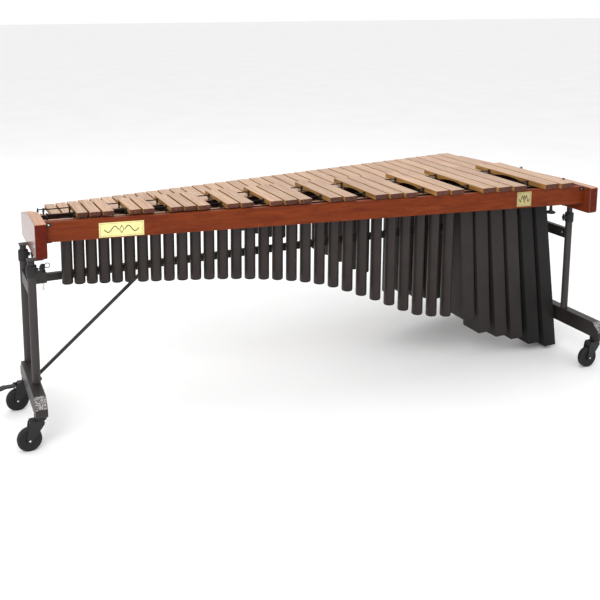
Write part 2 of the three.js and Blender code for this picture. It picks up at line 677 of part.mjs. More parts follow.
function makeCasters() {
  for (const [end, { footX: x, beam }] of Object.entries(TRESTLES)) {
    [beam[0] + CASTER_SEAT, beam[1] - CASTER_SEAT].forEach((y, n) => {
      const name = `${end}_${["front", "back"][n]}`;
      place(`caster_fork_${name}`, fork(x, y, n === 1), MATERIALS.blackPlastic);
      place(`caster_wheel_${name}`, wheel(x - WHEEL.trail, y), MATERIALS.tyre);
      if (n === 1) {
        place(`brake_pedal_${name}`, brakePedal(x, y), MATERIALS.blackPlastic);
      }
    });
  }
}

makeBars();
makeFrame();
makeResonators();
makeStand();
makeCasters();

// The origin goes on the floor, under the middle of the object.
const extent = new THREE.Box3().setFromObject(marimba);
const centre = extent.getCenter(new THREE.Vector3());
marimba.position.set(-centre.x, -centre.y, -extent.min.z);
const part = new THREE.Group();
part.add(marimba);

export default part;
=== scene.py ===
"""The looks of a five-octave concert marimba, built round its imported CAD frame.

Sizes are in millimetres in the maker's frame: x from the left edge of the highest natural's
place towards the low end, y from the apron's outer face towards the player, z up from the floor.
at() turns such a place into metres in the row frame. "front" and "near" are the audience's side,
"back" and "far" the player's; "high" and "low" are the two ends of the scale.
"""
import math
import random

import bmesh
import bpy
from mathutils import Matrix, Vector


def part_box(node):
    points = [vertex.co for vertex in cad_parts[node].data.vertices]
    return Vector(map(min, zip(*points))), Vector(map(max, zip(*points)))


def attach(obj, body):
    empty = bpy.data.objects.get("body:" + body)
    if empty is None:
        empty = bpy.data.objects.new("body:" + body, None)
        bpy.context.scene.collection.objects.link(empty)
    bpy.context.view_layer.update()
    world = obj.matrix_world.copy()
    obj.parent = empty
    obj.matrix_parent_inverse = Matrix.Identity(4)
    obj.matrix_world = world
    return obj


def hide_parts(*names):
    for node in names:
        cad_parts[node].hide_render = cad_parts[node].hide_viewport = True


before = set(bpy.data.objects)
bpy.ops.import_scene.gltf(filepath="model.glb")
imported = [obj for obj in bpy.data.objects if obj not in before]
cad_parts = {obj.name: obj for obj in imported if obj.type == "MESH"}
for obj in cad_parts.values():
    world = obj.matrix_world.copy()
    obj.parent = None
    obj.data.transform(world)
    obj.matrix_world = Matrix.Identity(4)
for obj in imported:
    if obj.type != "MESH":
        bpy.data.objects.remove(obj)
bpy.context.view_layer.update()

# ------------------------------------------------------------------ sizes shared with the CAD
MM = 0.001
NATURALS = 36
OCTAVES, TOP_OCTAVE = 5, 6
# Boundaries of an octave's naturals that hold an accidental, counted from the high end.
STEPS = (2, 3, 4, 6, 7)
# Semitones below C of each natural, counted the same way.
SCALE_STEPS = (0, 1, 3, 5, 7, 8, 10)
KEYBOARD = 2453
FIRST_PITCH, LAST_PITCH = 50.68, 85.6
PITCH_STEP = (LAST_PITCH - FIRST_PITCH) / (NATURALS - 1)
BAR_GAP = 7.8
BAR_THICKNESS = (20, 24)
BAR_ARCH = (3, 13)
ARCH_SPAN, ARCH_STEPS = (0.3, 0.7), 14
NATURAL_TOP, ACCIDENTAL_TOP = 900, 941
NATURAL_FAR, NATURAL_NEAR = (383.8, 745.1), (190, 155)
ACCIDENTAL_NEAR, ACCIDENTAL_FAR = (23.9, -369.8), (201, 200.5)
NODE_SHARE = 0.224
FIRST_POST, LAST_NATURAL_POST, LAST_ACCIDENTAL_POST = -34, 2456, 2447
CORD_RADIUS, HOOK_RADIUS, POST_SIDES = 2.6, 2.5, 12
RAIL_X = (-50.2, 2470.7)
INNER_RAIL_TOP = {"accidental": 909, "natural": 866}
INNER_RAIL_Y, INNER_RAIL_DEPTH = (-8, 8), 60
APRON_FACE, APRON_THICK, APRON_Z = (-1, -349.5), 27, (828.5, 916)
APRON_KNOB_X = 2308
HIGH_BLOCK = {"x": (-98.6, -50.5), "y": (-22, 405), "z": (765, 917), "slope": (185, 871)}
LOW_BOARD = {"x": (2471, 2517), "y": (-401, 702), "z": (789, 917), "slope": (-182, 885)}
END_CHAMFER = 9
PLATES = (("large", (162, 348), (834, 897), "plate"),
          ("small", (2110, 2186), (837, 908), "plate_dim"))
PLATE_GAP, PLATE_THICK, ENGRAVING_GAP = 0.3, 1.5, 0.02
LATCH_X = ((-49.5, -28), (2448, 2470))

FRONT_LINE, BACK_LINE = (131.7, -152), (287, 445)
FRONT_TUBE_TOP, BACK_TUBE_TOP = 895, 856
TUBE_RADIUS, TUBE_SIDES = (24.4, 28), 36
TUBE_IN_CAD = 0.985  # keeps the round tube within the CAD's flat-sided one
CAP_RIM = 7.2
TUBE_FLAT = math.cos(math.pi / 8)
LAST_TUBE = 29
TUBE_GROUPS = ((0, 10), (10, 20), (20, LAST_TUBE))
FRONT_ARCH = ((1, 603), (8, 580), (15, 547), (20, 488), (24, 378), (27, 278), (29, 252))
SHORTEST_TUBE = 62
SOUND_SPEED, HIGHEST_PITCH = 343000, 2093  # mm/s, Hz
FRONT_BOX_BOTTOMS = (226, 141, 109, 84, 44, 18)
FRONT_BOX_LEANS = (46, 58, 78, 88, 110, 126)
BACK_BOX_BOTTOMS = (226, 190, 165, 150, 141, 134, 131)
BACK_BOX_LEAN = 4
BOX_WIDTH, BOX_DEPTH, BOX_ROUNDING, BOX_MOUTH = 73, 130, 3.0, 260
FRONT_BOX_X, FRONT_BOX_Y = -4, -26
# The front boxes from this one on take the darker box coating as painted shade.
SHADED_BOXES = 4
STRAP_Z, STRAP_THICK, SCREW_HALF = (836, 848), 4, 0.8

TRESTLES = {
    "high": {"x": -114, "foot_x": -121, "legs": (14, 258), "beam": (-162, 304), "in": 1,
             "post": 764.7, "flange": (-131, -64.55)},
    "low": {"x": 2550, "foot_x": 2557, "legs": (-186, 492), "beam": (-449, 640), "in": -1,
            "post": 788.7, "flange": (2484, 2567)},
}
FOOT_Z, FOOT_HALF, FOOT_SLOPE = (150, 226), 25, (42, 184)
LEG_FOOT, LEG_RADIUS, LEG_BORE = 226.3, 17.5, 14.6
POST_FOOT, POST_RADIUS, FLANGE_THICK, FLANGE_HALF = 402, 14, 4, 22
KNOB_Z = 716
COLLAR_Z = (690, 738)
STRETCHER_Y, STRETCHER_HALF, STRETCHER_Z, STRETCHER_GAP = 186, 13, (608, 641), 15.8
CROSS_Z, CROSS_HALF, CROSS_INSET = (600, 652), 12, 17
SOCKET_FLOOR, SOCKET_REACH, SOCKET_WALL = 603, 72, (13.3, 16.8)
BRACE_FOOT, BRACE_RUN, BRACE_RADIUS, BRACE_HALF = 178, 503, 8, 7
PIN_INSET, PULL_Z = 70, 676
AXLE_Z, WHEEL_HALF, WHEEL_SIDES = 50, 14, 64
BEAM_INSET, TRAIL, PEDAL_PIVOT, PEDAL_Z = 44, 48, 57, 116

BLOCK_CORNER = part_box("high_end_block")[0]
SHIFT = Vector((BLOCK_CORNER.x / MM - HIGH_BLOCK["x"][0],
                BLOCK_CORNER.y / MM - HIGH_BLOCK["y"][0], 0))


def at(x, y, z):
    return (Vector((x, y, z)) + SHIFT) * MM


def mix(pair, share):
    return pair[0] + (pair[1] - pair[0]) * share


def line(pair):
    """The y, at any x, of a line through two places at the ends of the keyboard."""
    return lambda x: mix(pair, x / KEYBOARD)


def angles(sides):
    return [2 * math.pi * n / sides for n in range(sides)]


def boundary(k):
    """The x of the boundary between the k-th natural's place and the next."""
    return FIRST_PITCH * k + PITCH_STEP * k * (k - 1) / 2


def middle(i):
    return (boundary(i) + boundary(i + 1)) / 2


def accidental_width(k):
    return FIRST_PITCH + PITCH_STEP * (k - 0.5) - BAR_GAP


natural_near, natural_far = line(NATURAL_NEAR), line(NATURAL_FAR)
accidental_near, accidental_far = line(ACCIDENTAL_NEAR), line(ACCIDENTAL_FAR)
apron_face = line(APRON_FACE)
front_line, back_line = line(FRONT_LINE), line(BACK_LINE)
ACCIDENTALS = [7 * octave + step for octave in range(OCTAVES) for step in STEPS]


def node_line(near, far, share):
    return lambda x: near(x) + (far(x) - near(x)) * share


CORD_LINES = {
    "accidental_near": node_line(accidental_near, accidental_far, NODE_SHARE),
    "accidental_far": node_line(accidental_near, accidental_far, 1 - NODE_SHARE),
    "natural_near": node_line(natural_near, natural_far, NODE_SHARE),
    "natural_far": node_line(natural_near, natural_far, 1 - NODE_SHARE),
}

# ------------------------------------------------------------------ materials


class Finish:
    """A node material on one Principled shader."""

    def __init__(self, name, **values):
        self.material = bpy.data.materials.new(name)
        self.material.use_nodes = True
        self.tree = self.material.node_tree
        self.shader = self.tree.nodes["Principled BSDF"]
        for socket, value in values.items():
            self.shader.inputs[socket.replace("_", " ")].default_value = value

    def feed(self, socket, value):
        """Links a socket to an output, or gives it a constant."""
        if isinstance(value, bpy.types.NodeSocket):
            self.tree.links.new(value, socket)
        else:
            socket.default_value = value

    def node(self, kind, inputs=None, **properties):
        made = self.tree.nodes.new(kind)
        for key, value in properties.items():
            setattr(made, key, value)
        for key, value in (inputs or {}).items():
            self.feed(made.inputs[key], value)
        return made

    def drive(self, socket, output):
        self.tree.links.new(output, self.shader.inputs[socket])

    def coordinates(self, scale, offset=None):
        where = self.node("ShaderNodeTexCoord").outputs["Object"]
        if offset is not None:
            where = self.node("ShaderNodeVectorMath", {0: where, 1: offset}).outputs[0]
        return self.node("ShaderNodeMapping", {"Vector": where, "Scale": scale}).outputs[0]

    def noise(self, vector, scale, detail=4.0, roughness=0.55, distortion=0.0):
        inputs = {"Vector": vector, "Scale": scale, "Detail": detail, "Roughness": roughness,
                  "Distortion": distortion}
        return self.node("ShaderNodeTexNoise", inputs).outputs["Fac"]

    def ramp(self, fac, stops):
        made = self.node("ShaderNodeValToRGB", {"Fac": fac})
        elements = made.color_ramp.elements
        while len(elements) < len(stops):
            elements.new(0.5)
        for element, (position, colour) in zip(elements, stops):
            element.position = position
            element.color = colour if len(colour) == 4 else (*colour, 1)
        return made.outputs["Color"]

    def blend(self, fac, first, second, how="MIX"):
        made = self.node("ShaderNodeMix", data_type="RGBA", blend_type=how)
        for index, value in ((0, fac), (6, first), (7, second)):
            self.feed(made.inputs[index], value)
        return made.outputs[2]

    def span(self, value, low, high):
        inputs = {"Value": value, "To Min": low, "To Max": high}
        return self.node("ShaderNodeMapRange", inputs).outputs[0]

    def bump(self, height, strength, distance):
        inputs = {"Height": height, "Strength": strength, "Distance": distance}
        self.drive("Normal", self.node("ShaderNodeBump", inputs).outputs[0])

    def edge_wear(self):
        """0 on flats, rising on worn convex edges."""
        point = self.node("ShaderNodeNewGeometry").outputs["Pointiness"]
        inputs = {"Value": point, "From Min": 0.51, "From Max": 0.6, "To Max": 0.5}
        return self.node("ShaderNodeMapRange", inputs).outputs[0]


def srgb(r, g, b):
    def linear(v):
        v /= 255
        return v / 12.92 if v <= 0.04045 else ((v + 0.055) / 1.055) ** 2.4
    return (linear(r), linear(g), linear(b), 1)


def wood(name, stops, stretch, figure, pores, roughness, coat, vary=0.0, bump=0.15,
         shine=0.3):
    """Wood whose grain runs along the axis with the smallest stretch.

    figure and pores are the scales of its bands and its fine dark flecks; vary is how far
    its shade may move from piece to piece.
    """
    finish = Finish(name, Coat_Weight=coat, Coat_Roughness=0.12, Specular_IOR_Level=shine)
    tone = finish.node("ShaderNodeAttribute", attribute_name="tone").outputs["Fac"]
    offset = finish.node("ShaderNodeCombineXYZ", {
        "X": finish.span(tone, 0, 3.1), "Y": finish.span(tone, 0, 7.7), "Z": tone}).outputs[0]
    vector = finish.coordinates(stretch, offset)
    bands = finish.noise(vector, figure, 5, 0.6, 0.8)
    colour = finish.ramp(bands, stops)
    fine = finish.noise(vector, pores, 3, 0.7)
    dark = finish.ramp(fine, [(0.36, (0.62, 0.56, 0.5)), (0.52, (1, 1, 1))])
    colour = finish.blend(0.55, colour, dark, "MULTIPLY")
    if vary:
        low, high = 1 - vary, 1 + vary
        shade = finish.span(tone, low, high)
        warm = finish.span(finish.noise(vector, 0.9, 2), low, high)
        both = finish.node("ShaderNodeMath", {0: shade, 1: warm}, operation="MULTIPLY").outputs[0]
        grey = finish.node("ShaderNodeCombineColor", {"Red": both, "Green": both, "Blue": both})
        colour = finish.blend(1.0, colour, grey.outputs[0], "MULTIPLY")
    finish.drive("Base Color", colour)
    finish.drive("Roughness", finish.span(bands, roughness - 0.06, roughness + 0.08))
    finish.bump(fine, bump, 0.0004)
    return finish.material


def coated(name, colour, roughness, grain, bump, metallic, shine):
    """Powder-coated, anodised or moulded surface with a fine texture and lighter worn edges."""
    finish = Finish(name, Metallic=metallic, Specular_IOR_Level=shine)
    vector = finish.coordinates((1, 1, 1))
    cloud = finish.noise(vector, 9.0, 4)
    fine = finish.noise(vector, grain, 2)
    lighter = tuple(min(1, c * 1.35 + 0.004) for c in colour[:3])
    darker = tuple(c * 0.78 for c in colour[:3])
    base = finish.ramp(cloud, [(0.3, darker), (0.7, lighter)])
    worn = tuple(min(1, c * 2.2 + 0.03) for c in colour[:3]) + (1,)
    finish.drive("Base Color", finish.blend(finish.edge_wear(), base, worn))
    finish.drive("Roughness", finish.span(fine, roughness - 0.08, roughness + 0.1))
    finish.bump(fine, bump, 0.0002)
    return finish.material


def hammered_finish():
    """Grey hammered paint: light flecks over a dark ground."""
    finish = Finish("hammered_coat", Metallic=0.3, Specular_IOR_Level=0.5)
    flecks = finish.noise(finish.coordinates((1, 1, 1)), 240.0, 3, 0.65)
    stops = [(0.42, srgb(46, 44, 44)), (0.52, srgb(104, 100, 100)), (0.6, srgb(190, 186, 184))]
    finish.drive("Base Color", finish.ramp(flecks, stops))
    finish.drive("Roughness", finish.span(flecks, 0.22, 0.5))
    finish.bump(flecks, 0.9, 0.0006)
    return finish.material


def floor_finish():
    finish = Finish("studio_floor", Roughness=0.85)
    cloud = finish.noise(finish.coordinates((1, 1, 1)), 1.5, 3)
    stops = [(0.3, (0.86, 0.86, 0.86)), (0.7, (0.89, 0.89, 0.89))]
    finish.drive("Base Color", finish.ramp(cloud, stops))
    return finish.material


def three(first, second, third, places=(0.3, 0.5, 0.72)):
    """Colour stops, dark to light, from three sRGB colours."""
    return [(place, srgb(*c)) for place, c in zip(places, (first, second, third))]


BAR_GRAIN, ALONG_X, ALONG_Y, END_GRAIN = (60, 3, 60), (2.2, 45, 45), (45, 2.2, 45), (90, 90, 90)
BAR_PLACES = (0.28, 0.5, 0.74)
RED = three((92, 34, 12), (107, 44, 16), (120, 53, 21))
DEEP_RED = three((74, 20, 10), (86, 25, 13), (98, 32, 16))
# Pale tan painted on the top faces of the end pieces and inner rails as a highlight.
HIGHLIGHT_TAN_DARK, HIGHLIGHT_TAN_LIGHT = (150, 104, 76), (196, 152, 120)
LACQUER = {"figure": 1.0, "pores": 14.0, "vary": 0.04, "bump": 0.06}
INNER = {"figure": 1.3, "pores": 14.0}

# Key, name, sRGB colour, roughness, scale of the texture, its bump, metallic, specular level.
COATINGS = (
    ("tube", "tube_coating", (30, 22, 19), 0.4, 700.0, 0.05, 0.1, 0.25),
    # Near-black painted shade for the inside of the tubes' mouths.
    ("tube_inside", "tube_inside", (9, 8, 8), 0.7, 700.0, 0.05, 0.0, 0.1),
    ("box", "box_coating", (21, 15, 13), 0.42, 600.0, 0.05, 0.05, 0.16),
    # A darker copy of the box coating: painted shade for the last front boxes.
    ("box_low", "box_low_coating", (9, 7, 6), 0.45, 600.0, 0.05, 0.0, 0.08),
    ("coat", "black_powder_coat", (24, 19, 17), 0.42, 1400.0, 0.35, 0.0, 0.3),
    ("plastic", "black_plastic", (12, 11, 12), 0.48, 2200.0, 0.2, 0.0, 0.25),
    ("rubber", "cord_rubber", (8, 8, 8), 0.6, 2600.0, 0.3, 0.0, 0.2),
    ("tyre", "caster_tyre", (20, 18, 20), 0.66, 1200.0, 0.4, 0.0, 0.25),
    ("hub", "caster_hub", (26, 23, 26), 0.5, 1600.0, 0.3, 0.0, 0.3),
    ("steel", "plated_steel", (190, 190, 188), 0.25, 1800.0, 0.08, 1.0, 0.5),
    ("cord", "bar_cord", (8, 8, 8), 0.8, 3200.0, 0.8, 0.0, 0.1),
    ("plate", "plate_gold", (190, 178, 122), 0.4, 1500.0, 0.08, 0.1, 0.3),
    ("plate_dim", "plate_dull_gold", (138, 128, 86), 0.4, 1500.0, 0.08, 0.1, 0.3),
    ("engraving", "plate_engraving", (26, 22, 16), 0.5, 1500.0, 0.1, 0.0, 0.35),
)

MATERIALS = {
    "bar_top": wood("bar_top", three((146, 104, 80), (172, 138, 110), (192, 162, 134), BAR_PLACES),
                    BAR_GRAIN, figure=1.6, pores=16.0, roughness=0.4, coat=0.06, vary=0.12),
    "bar_side": wood("bar_side", three((110, 70, 34), (150, 108, 56), (172, 134, 78), BAR_PLACES),
                     BAR_GRAIN, figure=2.0, pores=18.0, roughness=0.5, coat=0.0, vary=0.1),
    "bar_end": wood("bar_end", three((56, 26, 18), (78, 40, 28), (104, 60, 42)), END_GRAIN,
                    figure=1.4, pores=12.0, roughness=0.6, coat=0.0, vary=0.22, bump=0.3),
    "rail": wood("rail_wood", RED, ALONG_X, roughness=0.38, coat=0.02, shine=0.1, **LACQUER),
    "board": wood("board_wood", DEEP_RED, ALONG_Y, roughness=0.38, coat=0.02, shine=0.08,
                  **LACQUER),
    "board_gloss": wood("board_gloss", RED, ALONG_Y, roughness=0.3, coat=0.6, shine=0.5,
                        **LACQUER),
    # End pieces' top faces: pale tan painted as a highlight.
    "rim": wood("end_top_painted_highlight", three(HIGHLIGHT_TAN_DARK, (172, 126, 96), HIGHLIGHT_TAN_LIGHT), ALONG_Y, roughness=0.4,
                coat=0.1, **LACQUER),
    # Inner rails: tops and undersides painted pale tan as a highlight, sides painted near-black as
    # shade.
    "rail_top_highlight": wood("rail_top_painted_highlight", [(0.3, srgb(*HIGHLIGHT_TAN_DARK)), (0.7, srgb(*HIGHLIGHT_TAN_LIGHT))],
                      ALONG_X, roughness=0.45, coat=0.1, **INNER),
    "rail_side_shade": wood("rail_side_painted_shade", [(0.3, srgb(26, 13, 9)), (0.7, srgb(40, 20, 13))],
                       ALONG_X, roughness=0.6, coat=0.0, shine=0.1, **INNER),
    "hammered": hammered_finish(),
    "floor": floor_finish(),
}
for key, name, colour, *values in COATINGS:
    MATERIALS[key] = coated(name, srgb(*colour), *values)

# ------------------------------------------------------------------ building pieces
FACING = 0.9  # a face looks along an axis when its normal's share of it passes this


def round_ring(centre, side, other, radius, sides):
    return [centre + radius * (math.cos(a) * side + math.sin(a) * other) for a in angles(sides)]


class Build:
    """Collects solids in one mesh, in millimetres in the maker's frame."""

    def __init__(self, *materials):
        self.mesh = bmesh.new()
        self.materials = materials
        self.tone = 0.5

    def hull(self, rings, material=0):
        """Joins rings of corners one after another, and closes both ends."""
        made = [[self.mesh.verts.new(at(*p)) for p in ring] for ring in rings]
        faces = []
        count = len(made[0])
        for low, high in zip(made, made[1:]):
            for i in range(count):
                j = (i + 1) % count
                faces.append(self.mesh.faces.new((low[i], low[j], high[j], high[i])))
        faces.append(self.mesh.faces.new(list(reversed(made[0]))))
        faces.append(self.mesh.faces.new(made[-1]))
        for face in faces:
            face.material_index = material
        return faces

    def cell(self, place, material=0):
        """A six-sided solid; place gives its corner for each u, v and w of 0 or 1."""
        corners = ((0, 0), (1, 0), (1, 1), (0, 1))
        return self.hull([[place(u, v, w) for u, v in corners] for w in (0, 1)], material)

    def block(self, x, y, z, material=0):
        return self.cell(lambda u, v, w: (x[u], y[v], z[w]), material)

    def board(self, x, where, y, z):
        """A straight board along a line, between two offsets from it and two heights."""
        return self.cell(lambda u, v, w: (x[u], where(x[u]) + y[v], z[w]))

    def along_x(self, outline, x):
        """An outline of (y, z) points carried along x."""
        return self.hull([[(s, y, z) for y, z in outline] for s in x])

    def turned(self, profile, x, y, sides, material=0, axis="z", z=0):
        """A profile of (radius, height) turned about an axis through (x, y, z)."""
        rings = []
        for radius, height in profile:
            ring = []
            for a in angles(sides):
                c, s = radius * math.cos(a), radius * math.sin(a)
                ring.append({"z": (x + c, y + s, z + height), "y": (x + s, y + height, z + c),
                             "x": (x + height, y + c, z + s)}[axis])
            rings.append(ring)
        return self.hull(rings, material)

    def rod(self, start, end, radius, sides, material=0):
        a, b = Vector(start), Vector(end)
        along = (b - a).normalized()
        side = along.orthogonal().normalized()
        other = along.cross(side)
        return self.hull([round_ring(p, side, other, radius, sides) for p in (a, b)], material)

    def sweep(self, points, radius, sides, material=0):
        """A round wire along a path, its frame carried without twist."""
        path = [Vector(p) for p in points]
        side = None
        rings = []
        for i, p in enumerate(path):
            ahead = path[min(i + 1, len(path) - 1)] - path[max(i - 1, 0)]
            ahead.normalize()
            if side is None:
                side = ahead.orthogonal().normalized()
            side = (side - side.dot(ahead) * ahead).normalized()
            rings.append(round_ring(p, side, ahead.cross(side), radius, sides))
        return self.hull(rings, material)

    def paint(self, choose):
        """Gives every face the material number that choose picks from its normal."""
        self.mesh.normal_update()
        for face in self.mesh.faces:
            face.material_index = choose(face.normal)

    def finish(self, name, body, slot, replaces=(), bevel=0.0, segments=2, angle=35):
        """Makes the piece, ties it to its body, and hides the nodes it replaces; its slot is not
        used.
        """
        bmesh.ops.remove_doubles(self.mesh, verts=self.mesh.verts, dist=1e-7)
        bmesh.ops.recalc_face_normals(self.mesh, faces=self.mesh.faces)
        mesh = bpy.data.meshes.new(name)
        self.mesh.to_mesh(mesh)
        self.mesh.free()
        for material in self.materials:
            mesh.materials.append(MATERIALS[material])
        mesh.shade_smooth()
        mesh.set_sharp_from_angle(angle=math.radians(angle))
        attribute = mesh.attributes.new("tone", "FLOAT", "POINT")
        attribute.data.foreach_set("value", [self.tone] * len(mesh.vertices))
        piece = bpy.data.objects.new(name, mesh)
        bpy.context.scene.collection.objects.link(piece)
        if bevel:
            edges = piece.modifiers.new("rounded_edges", "BEVEL")
            edges.width = bevel * MM
            edges.segments = segments
            edges.limit_method = "ANGLE"
            edges.angle_limit = math.radians(40)
            edges.harden_normals = True
        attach(piece, body)
        if replaces:
            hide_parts(*replaces)


def curve_points(start, control, end, count):
    for n in range(count + 1):
        t = n / count
        yield tuple((1 - t) ** 2 * a + 2 * t * (1 - t) * b + t * t * c
                    for a, b, c in zip(start, control, end))


def lobed(radius, depth, lobes, sides):
    """The outline of a knob's grip: a circle with shallow lobes."""
    outline = []
    for a in angles(sides):
        r = radius + depth * math.cos(lobes * a)
        outline.append((r * math.cos(a), r * math.sin(a)))
    return outline


# ------------------------------------------------------------------ bars, cords and posts
RANDOM = random.Random(36)


def bar(name, centre, width, near, far, top, node):
    """A bar between two lines, with its tuning arch below; its end grain faces along y."""
    share = centre / KEYBOARD
    y0, y1 = near(centre), far(centre)
    under = top - mix(BAR_THICKNESS, share)
    crown = under + 2 * mix(BAR_ARCH, share)
    start, end = (mix((y0, y1), s) for s in ARCH_SPAN)
    outline = [(y0, under)]
    outline += curve_points((start, under), ((y0 + y1) / 2, crown), (end, under), ARCH_STEPS)
    outline += [(y1, under), (y1, top), (y0, top)]
    build = Build("bar_top", "bar_side", "bar_end")
    build.along_x(outline, (centre - width / 2, centre + width / 2))
    build.paint(lambda n: 1 if abs(n.x) > FACING else 2 if abs(n.y) > FACING else 0)
    build.tone = RANDOM.random()
    build.finish(name, "upper_frame", "bars", [node], bevel=1.6)


def make_bars():
    for i in range(NATURALS):
        octave = TOP_OCTAVE - max(0, (i - 1) // 7)
        width = FIRST_PITCH + PITCH_STEP * i - BAR_GAP
        bar(f"natural_bar_{i + 1:02d}", middle(i), width, natural_near, natural_far,
            NATURAL_TOP, f"natural_bars_octave_{octave}")
    for n, k in enumerate(ACCIDENTALS):
        octave = TOP_OCTAVE - n // len(STEPS)
        bar(f"accidental_bar_{n + 1:02d}", boundary(k), accidental_width(k), accidental_near,
            accidental_far, ACCIDENTAL_TOP, f"accidental_bars_octave_{octave}")


def natural_posts():
    return [FIRST_POST, LAST_NATURAL_POST] + [boundary(k) for k in range(1, NATURALS)]


def accidental_posts():
    """A post before each accidental, and one more after the last of each group."""
    places = [FIRST_POST, LAST_ACCIDENTAL_POST]
    for octave in range(OCTAVES):
        for n, step in enumerate(STEPS):
            k = 7 * octave + step
            reach = (accidental_width(k) + BAR_GAP) / 2
            places.append(boundary(k) - reach)
            if n == len(STEPS) - 1 or STEPS[n + 1] != step + 1:
                places.append(boundary(k) + reach)
    return places


def cord_post(build, x, y, rail_top, cord):
    """A pin with a rubber sleeve, and a hook of two prongs round the cord."""
    pin = [(4.6, rail_top - 2), (4.6, rail_top + 3), (3.4, rail_top + 3.8), (3.4, cord - 6)]
    sleeve = [(3.8, cord - 12), (4.6, cord - 11), (4.6, cord - 3.4), (3.4, cord - 2.8)]
    for profile in (pin, sleeve):
        build.turned(profile, x, y, POST_SIDES)
    for side in (-1, 1):
        prong = [(x, y + side * 1.5, cord - 4.5), (x, y + side * 4.4, cord - 2.4),
                 (x, y + side * 4.6, cord + 2.5), (x, y + side * 4.2, cord + 6.5)]
        build.sweep(prong, HOOK_RADIUS, 8)


def make_cords_and_posts():
    rows = (("accidental", ACCIDENTAL_TOP, accidental_posts()),
            ("natural", NATURAL_TOP, natural_posts()))
    for row, bar_top, places in rows:
        for side in ("near", "far"):
            name = f"{row}_{side}"
            where = CORD_LINES[name]
            cord = bar_top - BAR_THICKNESS[0] / 2
            rail_top = INNER_RAIL_TOP[row]
            rail = Build("rail_side_shade", "rail_top_highlight")
            rail.board(RAIL_X, where, INNER_RAIL_Y, (rail_top - INNER_RAIL_DEPTH, rail_top))
            # Faces looking up or down take the painted highlight, the sides the painted shade.
            rail.paint(lambda n: 1 if abs(n.z) > FACING else 0)
            rail.finish(f"{name}_rail_wood", "upper_frame", "frame_wood", [f"{name}_rail"],
                        bevel=1.8)
            posts = Build("rubber")
            for x in places:
                cord_post(posts, x, where(x), rail_top, cord)
            posts.finish(f"{name}_cord_posts", "upper_frame", "black_plastic")
            strand = Build("cord")
            strand.sweep([(x, where(x), cord) for x in sorted(places)], CORD_RADIUS, 10)
            strand.finish(f"{name}_cord", "upper_frame", "black_plastic")


# ------------------------------------------------------------------ wooden frame
def end_piece(name, size):
    """A wide end piece, its top sloping down to the player; glossy outside, its top faces painted
    light tan as a highlight.
    """
    (y0, y1), (bottom, top), c = size["y"], size["z"], END_CHAMFER
    slope_start, slope_end = size["slope"]
    outline = [(y0 + c, bottom), (y1 - c, bottom), (y1, bottom + c), (y1, slope_end),
               (slope_start, top), (y0 + c / 2, top), (y0, top - c / 2), (y0, bottom + c)]
    build = Build("board", "board_gloss", "rim")
    build.along_x(outline, size["x"])
    # Faces looking down -x are glossy; faces looking up take the painted highlight.
    build.paint(lambda n: 1 if n.x < -FACING else 2 if n.z > 0.5 else 0)
    build.finish(f"{name}_wood", "upper_frame", "frame_wood", [name], bevel=3.5, segments=3)


def name_plate(name, x, z, metal):
    """A blank plate with an engraved border and a plain ornament."""
    face = lambda s: apron_face(s) - PLATE_GAP
    plate = Build(metal)
    plate.board(x, face, (-PLATE_THICK, 0), z)
    plate.finish(f"name_plate_{name}_metal", "upper_frame", "plate", [f"name_plate_{name}"],
                 bevel=0.6)
    lines = Build("engraving")
    front = lambda s: face(s) - PLATE_THICK - ENGRAVING_GAP

    def stroke(points, width):
        for a, b in zip(points, points[1:]):
            along = Vector((b[0] - a[0], b[1] - a[1])).normalized() * width / 2
            side = (-along.y, along.x)
            ring = [(a[0] - along.x - side[0], a[1] - along.y - side[1]),
                    (b[0] + along.x - side[0], b[1] + along.y - side[1]),
                    (b[0] + along.x + side[0], b[1] + along.y + side[1]),
                    (a[0] - along.x + side[0], a[1] - along.y + side[1])]
            lines.hull([[(s, front(s) + d, h) for s, h in ring] for d in (0.3, -0.05)])

    inset, border, wave, diamond = 5, 0.9, 3.4, 2.6
    x0, x1, z0, z1 = x[0] + inset, x[1] - inset, z[0] + inset, z[1] - inset
    stroke([(x0, z0), (x1, z0), (x1, z1), (x0, z1), (x0, z0)], border)
    cx, cz, reach, tall = (x0 + x1) / 2, (z0 + z1) / 2, (x1 - x0) * 0.4, (z1 - z0) * 0.3
    steps = 32
    for side in (-1, 1):
        curl = []
        for n in range(steps + 1):
            t = n / steps
            curl.append((cx + side * reach * (0.2 + 0.8 * t),
                         cz + tall * math.sin(2 * math.pi * t) * (1 - 0.45 * t)))
        stroke(curl, wave)
    half = reach * 0.13
    stroke([(cx - half, cz), (cx, cz + tall), (cx + half, cz), (cx, cz - tall), (cx - half, cz)],
           diamond)
    lines.finish(f"name_plate_{name}_engraving", "upper_frame", "plate")


def latches():
    """The fittings that hook the apron to the end pieces, and their screws."""
    build = Build("plastic", "steel")
    for ends in LATCH_X:
        x = sum(ends) / 2
        y = apron_face(x)
        build.block(ends, (y - 3.2, y - 0.4), (896, 912))
        build.block(ends, (y - 1, y + 24), (826.2, 829.2))
        build.turned([(3.2, -1.2), (3.2, 0)], x, y - 3.4, 12, 1, "y", 904)
    build.finish("apron_latches", "upper_frame", "black_plastic", bevel=0.8)


def make_frame():
    apron = Build("rail")
    apron.board(RAIL_X, apron_face, (0, APRON_THICK), APRON_Z)
    apron.finish("apron_wood", "upper_frame", "frame_wood", ["apron_rail"], bevel=3.2, segments=3)
    end_piece("high_end_block", HIGH_BLOCK)
    end_piece("low_end_board", LOW_BOARD)
    for plate in PLATES:
        name_plate(*plate)
    latches()


